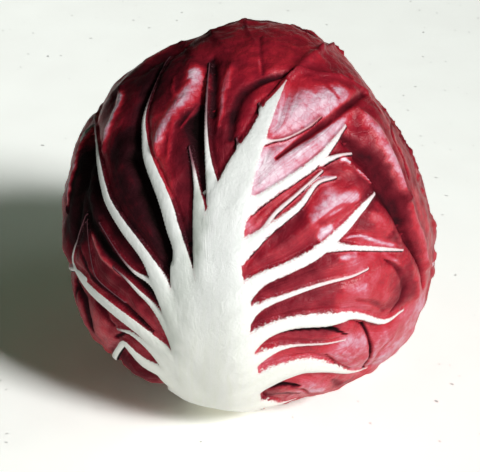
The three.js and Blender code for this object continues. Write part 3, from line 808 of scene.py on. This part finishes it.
def make_leaf(leaf, columns, rows, coarse, material):
    if leaf["index"] == 0:
        midrib = Stroke.drawn(MIDRIB)
        veins = [drawn_vein(1, 0.25, *row) for row in LEFT_VEINS]
        veins += [drawn_vein(-1, 1.0, *row) for row in RIGHT_VEINS]
    else:
        midrib, veins = grown_veins(leaf)
    outer, fields = leaf_surface(leaf, midrib, veins, "outer", columns, rows)
    inner, inner_fields = leaf_surface(leaf, midrib, veins, "inner", columns // coarse, rows // coarse)
    outer_ids = np.arange(len(outer)).reshape(rows + 1, -1)
    inner_ids = np.arange(len(inner)).reshape(rows // coarse + 1, -1) + len(outer)
    fields = {key: np.concatenate([values, inner_fields[key]]) for key, values in fields.items()}
    faces = sheet_faces(outer_ids, inner_ids)
    return make_object("visual_" + leaf["name"], np.vstack([outer, inner]), faces, material, fields)


# ---- Materials ----
def srgb(*levels):
    """A colour given as it looks on screen, 0 to 255, as Blender's linear light."""
    shares = [level / 255 for level in levels]
    return (*(c / 12.92 if c <= 0.04045 else ((c + 0.055) / 1.055) ** 2.4 for c in shares), 1)


class Value:
    """What a node gives; arithmetic on it adds math nodes."""

    def __init__(self, shader, socket):
        self.shader, self.socket = shader, socket

    def math(self, operation, *others):
        return self.shader.math(operation, self, *others)

    __add__ = partialmethod(math, "ADD")
    __sub__ = partialmethod(math, "SUBTRACT")
    __mul__ = partialmethod(math, "MULTIPLY")
    __truediv__ = partialmethod(math, "DIVIDE")
    __abs__ = partialmethod(math, "ABSOLUTE")

    def __rsub__(self, other):
        return self.shader.math("SUBTRACT", other, self)


BUMP_HEIGHT = 0.5 * MM


class Shader:
    """Builds one material's nodes."""

    def __init__(self, name):
        self.material = bpy.data.materials.new(name)
        self.material.use_nodes = True
        self.tree = self.material.node_tree
        self.surface = self.tree.nodes["Principled BSDF"]

    def plug(self, socket, value):
        if isinstance(value, Value):
            self.tree.links.new(value.socket, socket)
        else:
            socket.default_value = value

    def node(self, kind, inputs=(), output=0, **settings):
        """A new node's output; each input is a pair, the socket's name or number and what goes in."""
        made = self.tree.nodes.new(kind)
        for key, value in settings.items():
            setattr(made, key, value)
        for socket, value in inputs:
            self.plug(made.inputs[socket], value)
        return Value(self, made.outputs[output])

    def math(self, operation, *values):
        return self.node("ShaderNodeMath", enumerate(values), operation=operation)

    def remap(self, value, low, high, to_low=0.0, to_high=1.0, soft=True):
        inputs = {"Value": value, "From Min": low, "From Max": high, "To Min": to_low, "To Max": to_high}
        kind = "SMOOTHSTEP" if soft else "LINEAR"
        return self.node("ShaderNodeMapRange", inputs.items(), "Result", interpolation_type=kind)

    def attribute(self, name):
        return self.node("ShaderNodeAttribute", output="Fac", attribute_name=name)

    def place(self):
        return self.node("ShaderNodeTexCoord", output="Object")

    def vector(self, *parts):
        return self.node("ShaderNodeCombineXYZ", enumerate(parts))

    def part(self, vector, axis):
        return self.node("ShaderNodeSeparateXYZ", [(0, vector)], axis)

    def noise(self, vector, scale, detail, roughness, distortion=0.0, output="Fac"):
        inputs = {"Vector": vector, "Scale": scale, "Detail": detail, "Roughness": roughness}
        inputs["Distortion"] = distortion
        return self.node("ShaderNodeTexNoise", inputs.items(), output)

    def blend(self, share, a, b):
        """A mix of two colours, or of two numbers."""
        return self.node("ShaderNodeMix", [(0, share), (6, a), (7, b)], 2, data_type="RGBA")

    def ramp(self, value, stops):
        made = self.node("ShaderNodeValToRGB", [(0, value)])
        elements = made.socket.node.color_ramp.elements
        while len(elements) < len(stops):
            elements.new(0.5)
        for element, (position, colour) in zip(elements, stops):
            element.position, element.color = position, colour
        return made

    def look(self, colour, roughness, specular=None, height=None, strength=1):
        """Sets the surface; what is None stays as Blender has it."""
        inputs = {"Height": height, "Strength": strength, "Distance": BUMP_HEIGHT}
        normal = self.node("ShaderNodeBump", inputs.items()) if height is not None else None
        sockets = {"Base Color": colour, "Roughness": roughness, "Specular IOR Level": specular}
        for name, value in (*sockets.items(), ("Normal", normal)):
            if value is not None:
                self.plug(self.surface.inputs[name], value)
        return self.material


# How fine each pattern of the leaf is, in cells a metre
MOTTLE, NET_BEND, NET, BLOTCHES = 260, 300, 420, 420
WORN, COMB, SKIN, RAGS, SPECKLE = 500, 600, 700, 800, 1700
NET_WANDER = 1.2 * MM
TONE_RANGE = 1.1  # the tone at the ramp's far end
# From nearly black through crimson to pale pink; the pale end gives the painted sheen and glints, the black
# end serves also for painted shade
TONE_AND_SHEEN_STOPS = [
    (0.0, srgb(15, 7, 7)),
    (0.2, srgb(52, 20, 26)),
    (0.4, srgb(105, 21, 34)),
    (0.58, srgb(154, 27, 45)),
    (0.7, srgb(192, 39, 55)),
    (0.8, srgb(205, 79, 96)),
    (0.88, srgb(215, 136, 155)),
    (0.96, srgb(224, 180, 196)),
    (1.08, srgb(250, 232, 240)),
]
BROWNS = [(0.35, srgb(150, 50, 56)), (0.65, srgb(205, 98, 96))]
GREENS = [(0.35, srgb(84, 86, 76)), (0.65, srgb(138, 142, 124))]
RIB_WHITES = [(0.3, srgb(246, 249, 245)), (0.7, srgb(252, 253, 251))]
# The grey of the painted shade on the midrib's left flank
RIB_SHADE_GREYS = [(0.3, srgb(158, 167, 154)), (0.7, srgb(170, 179, 165))]
RIB_BASES = [(0.3, srgb(249, 250, 238)), (0.7, srgb(253, 253, 247))]
RIB_MAROON = srgb(112, 36, 58)
RIB_PINK = srgb(226, 150, 166)


def leaf_material():
    """Crimson blade and white veins; the border between them is ragged, and its grain follows the veins."""
    s = Shader("radicchio leaf")
    place = s.place()
    edge, cross, width, fray, lee = (s.attribute(key) for key in ("edge", "cross", "width", "fray", "lee"))
    tone, tint, hollow, shade, low = (s.attribute(key) for key in ("tone", "tint", "hollow", "shade", "low"))

    # The veins' border, which along a thin vein is measured from its middle line
    thin = s.remap(edge, 0.5, 1.0, 1, 0) * s.remap(width, 0.3, 0.5, 1, 0)
    border = (abs(cross) - width) * thin + edge * (1 - thin)
    along_grain = s.vector(s.attribute("grain") * 4.0, s.attribute("out") * 0.12, 0)
    fine_streaks = s.noise(along_grain, 3.2, 3, 0.6)
    wander = (s.noise(place, RAGS, 5, 0.7) - 0.5) * 1.7 + (fine_streaks - 0.5)
    jagged = border + wander * fray * s.remap(width, 0.2, 1.5, 0.2, 1.0)
    white = s.remap(jagged, -0.12, s.remap(fray, 0, 1, 0.08, 0.3), 1, 0) * s.remap(width, 0.06, 0.19, 0.3, 1)

    # The blade's tone: streaks near the veins, blotches away from them, painted shade in the hollows and in a
    # thin band on each vein's lee side, a net of fine veins, and streaks through the pale painted sheen
    near_veins = s.remap(edge, 3, 7, 1, 0.15)
    streaks = s.blend(near_veins, s.noise(place, BLOTCHES, 4, 0.65), s.noise(along_grain, 1.0, 4, 0.6))
    mottle = s.noise(place, MOTTLE, 4, 0.6)
    # Painted shade: darker in the hollows where the blade falls beside a vein, and in a thin band on its lee
    # side
    varied = tone + (streaks - 0.5) * 0.22 + (mottle - 0.5) * 0.22 - hollow * 0.13
    varied = varied - s.remap(abs(border - 0.25), 0.1, 0.45, 0.5, 0) * lee
    push = [(0, s.noise(place, NET_BEND, 2, 0.5, output="Color")), (1, [NET_WANDER] * 3), (2, place)]
    bent = s.node("ShaderNodeVectorMath", push, operation="MULTIPLY_ADD")
    cells = [("Vector", bent), ("Scale", NET)]
    net = s.node("ShaderNodeTexVoronoi", cells, "Distance", feature="DISTANCE_TO_EDGE")
    net = s.remap(net, 0, 0.1, 1, 0) * (1 - white)
    varied = varied + net * s.remap(tone, 0.3, 0.95, 0.015, -0.035, soft=False)
    combed = s.noise(place, COMB, 5, 0.7) + streaks * 0.8
    # Streaks through the pale painted sheen
    varied = varied + (combed - 0.9) * s.remap(tone, 0.7, 0.9, 0, 0.24)

    speckle = s.noise(place, SPECKLE, 4, 0.75)
    worn = s.noise(place, WORN, 3, 0.6)
    red = s.ramp(varied / TONE_RANGE, [(at / TONE_RANGE, colour) for at, colour in TONE_AND_SHEEN_STOPS])
    red = s.blend(s.remap(tint, 0.2, 0.8, 0, 0.75), red, s.ramp(worn, BROWNS))
    red = s.blend(s.remap(tint, -0.9, -0.2, 1, 0), red, s.ramp(worn, GREENS))
    red = s.blend(s.remap(speckle, 0.56, 0.64) * s.remap(jagged, 0.1, 1.6, 0.8, 0) * fray, red, RIB_PINK)

    # The ribs: fibres along them, painted shade in grey on the midrib's left flank, pink at the border and
    # where they are thin, maroon at the faint ones' ends
    fibres = s.noise(s.vector(cross * 0.5, s.part(place, "Z") * 40, 0), 1, 5, 0.6, 0.6)
    pale = s.blend(low, s.ramp(fibres, RIB_WHITES), s.ramp(fibres, RIB_BASES))
    # Painted shade: grey on the midrib's left flank and the roots of the veins there
    pale = s.blend(shade, pale, s.ramp(fibres, RIB_SHADE_GREYS))
    stained = s.remap(jagged, -0.9, 0.0) * s.remap(speckle, 0.45, 0.6) * fray * 0.6
    pale = s.blend(s.math("MAXIMUM", stained, s.remap(width, 0.2, 0.8, 0.4, 0)), pale, RIB_PINK)
    pale = s.blend(s.remap(width, 0.25, 0.6, 0.9, 0) * s.remap(fray, 0.3, 0.5, 1, 0), pale, RIB_MAROON)

    roughness = s.remap(varied, 0.2, 0.7, 0.66, 0.32) + s.remap(mottle, 0.35, 0.65, -0.03, 0.05)
    roughness = roughness + white * 0.08
    specular = s.remap(varied, 0.3, 0.75, 0.02, 0.36) * s.remap(white, 0, 1, 1, 0.7)
    height = fine_streaks * 0.6 + s.noise(place, SKIN, 4, 0.6) * 0.8 - net * 0.18
    return s.look(s.blend(white, red, pale), roughness, specular, height, 0.6)


def stem_material():
    s = Shader("stem")
    mottle = s.noise(s.place(), 300, 4, 0.6)
    colour = s.ramp(mottle, [(0.3, srgb(226, 222, 200)), (0.7, srgb(240, 238, 224))])
    roughness = s.remap(mottle, 0.3, 0.7, 0.45, 0.65)
    return s.look(colour, roughness, None, s.noise(s.place(), 900, 4, 0.6), 0.4)


# The worktop as the camera sees it, above 1 since the lamps alone leave it short of white, the same at its
# far right, darker as a painted falloff of the light, and as it lights the head
FLOOR_SEEN = [(0.3, (1.83, 1.84, 1.78, 1)), (0.7, (1.88, 1.9, 1.84, 1))]
FLOOR_FAR_SHADE = (0.5, 0.52, 0.48, 1)
FLOOR_LIT = (0.93, 0.94, 0.92, 1)
FLOOR_SPECKS = srgb(120, 122, 116)


def floor_material():
    """A pale speckled worktop, a little darker towards its far right, as a painted falloff of the light."""
    s = Shader("floor")
    place = s.place()
    shade = s.noise(place, 40, 3, 0.5)
    # Painted falloff of the light: darker towards the far right
    away = s.remap(s.part(place, "X") + s.part(place, "Y") * 0.6, 0.08, 0.3, 0, 0.16, soft=False)
    seen = s.blend(away, s.ramp(shade, FLOOR_SEEN), FLOOR_FAR_SHADE)
    seen = s.blend(s.remap(s.noise(place, 330, 1, 0.5), 0.742, 0.772, 0, 0.6), seen, FLOOR_SPECKS)
    rays = [s.node("ShaderNodeLightPath", output=ray) for ray in ("Is Camera Ray", "Is Glossy Ray")]
    colour = s.blend(s.math("MAXIMUM", *rays), FLOOR_LIT, seen)
    return s.look(colour, s.remap(shade, 0.3, 0.7, 0.85, 0.95), 0.15)


# ---- The stem ----
STEM_SEGMENTS = 96
CUP_DEPTH = 0.5  # how far the cut face is hollowed out
CUT_RIM = 1.2  # how high the cut face's rounded rim reaches


def make_stem(material):
    """The trimmed stem core: a tapered core whose cut face is slightly cupped and uneven."""
    cut, shoulder = -STEM_CUT_DEPTH, CUT_RIM - STEM_CUT_DEPTH
    profile = [(0.0, cut + CUP_DEPTH)]
    profile += [(STEM_CUT_RADIUS * t, cut + CUP_DEPTH * (1 - t) ** 2) for t in np.linspace(0.08, 0.9, 14)]
    profile += [(STEM_CUT_RADIUS * 0.97, cut + 0.25), (STEM_CUT_RADIUS, shoulder)]
    for t in np.linspace(0.1, 1, 12):
        z = mix(shoulder, -STEM_TOP_DEPTH - STEM_TOP_RADIUS, t)
        profile.append((mix(STEM_CUT_RADIUS, STEM_TOP_RADIUS, t), z))
    profile += [(STEM_TOP_RADIUS * 0.6, -STEM_TOP_DEPTH), (0.0, -STEM_TOP_DEPTH)]
    turns = np.arange(STEM_SEGMENTS) * 2 * np.pi / STEM_SEGMENTS
    points = [(0, 0, profile[0][1])]
    for radius, z in profile[1:-1]:
        points += [(radius * math.cos(a), radius * math.sin(a), z) for a in turns]
    points.append((0, 0, profile[-1][1]))
    points = np.array(points, float)
    wobble = 0.25 * PUCKERED(points)
    points[:, :2] *= (1 + 0.02 * LUMPY(points))[:, None]
    points[:, 2] += np.where(points[:, 2] < cut + 1, np.abs(wobble), 0)
    last = len(points) - 1
    rings = np.arange(1, last).reshape(-1, STEM_SEGMENTS).tolist()
    around = [(i, (i + 1) % STEM_SEGMENTS) for i in range(STEM_SEGMENTS)]
    faces = [(0, rings[0][j], rings[0][i]) for i, j in around]
    for a, b in zip(rings, rings[1:]):
        faces += [(a[i], a[j], b[j], b[i]) for i, j in around]
    faces += [(last, rings[-1][i], rings[-1][j]) for i, j in around]
    return make_object("visual_stem_core", to_world(points), faces, material)


# ---- The scene ----
LEAF_GRIDS = {  # columns, rows, how much coarser the inner face is
    "front_leaf": (340, 270, 5),
    "back_leaf": (240, 190, 5),
    "right_leaf": (150, 120, 5),
    "left_leaf": (150, 120, 5),
}
INNER_GRID = (56, 48, 2)
FLOOR_SIZE = 6  # m
LIGHT_DISTANCE = 16  # m

blade = leaf_material()
for leaf in leaf_table():
    columns, rows, coarse = LEAF_GRIDS.get(leaf["name"], INNER_GRID)
    piece = make_leaf(leaf, columns, rows, coarse, blade)
    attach(piece, "root")
    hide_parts(leaf["name"])

stem = make_stem(stem_material())
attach(stem, "root")
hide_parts("stem_core")

bpy.ops.mesh.primitive_plane_add(size=FLOOR_SIZE)
floor = bpy.context.object
floor.name = "floor"
floor.data.materials.append(floor_material())

scene = bpy.context.scene
centre = np.array([0, 0, CENTRE_HEIGHT])


def add_light(name, towards, size, power):
    data = bpy.data.lights.new(name, "AREA")
    data.shape = "RECTANGLE"
    data.size, data.size_y = size
    data.energy = power
    light = bpy.data.objects.new(name, data)
    light.location = centre * MM + unit(towards) * LIGHT_DISTANCE
    light.rotation_euler = Vector(-unit(towards)).to_track_quat("-Z", "Y").to_euler()
    scene.collection.objects.link(light)


# Where it stands as seen from the head, its size in metres and its power in watts
add_light("key", (0.6, -0.55, 0.58), (3.6, 3.6), 2000)
add_light("window", (0.62, -0.25, 0.67), (8, 8), 108)
add_light("fill", (0.15, -0.99, 0.032), (8, 1), 870)

world = bpy.data.worlds.new("world")
world.use_nodes = True
background = world.node_tree.nodes["Background"]
background.inputs["Color"].default_value = (0.62, 1.05, 0.6, 1)
background.inputs["Strength"].default_value = 0.032
scene.world = world

camera_data = bpy.data.cameras.new("camera")
camera_data.lens, camera_data.sensor_width = LENS, SENSOR
camera = bpy.data.objects.new("camera", camera_data)
camera.location = (centre + EYE_WORLD) * MM
camera.rotation_euler = (math.radians(90 - ELEVATION), 0, 0)
scene.collection.objects.link(camera)
scene.camera = camera
scene.view_settings.view_transform = "Standard"
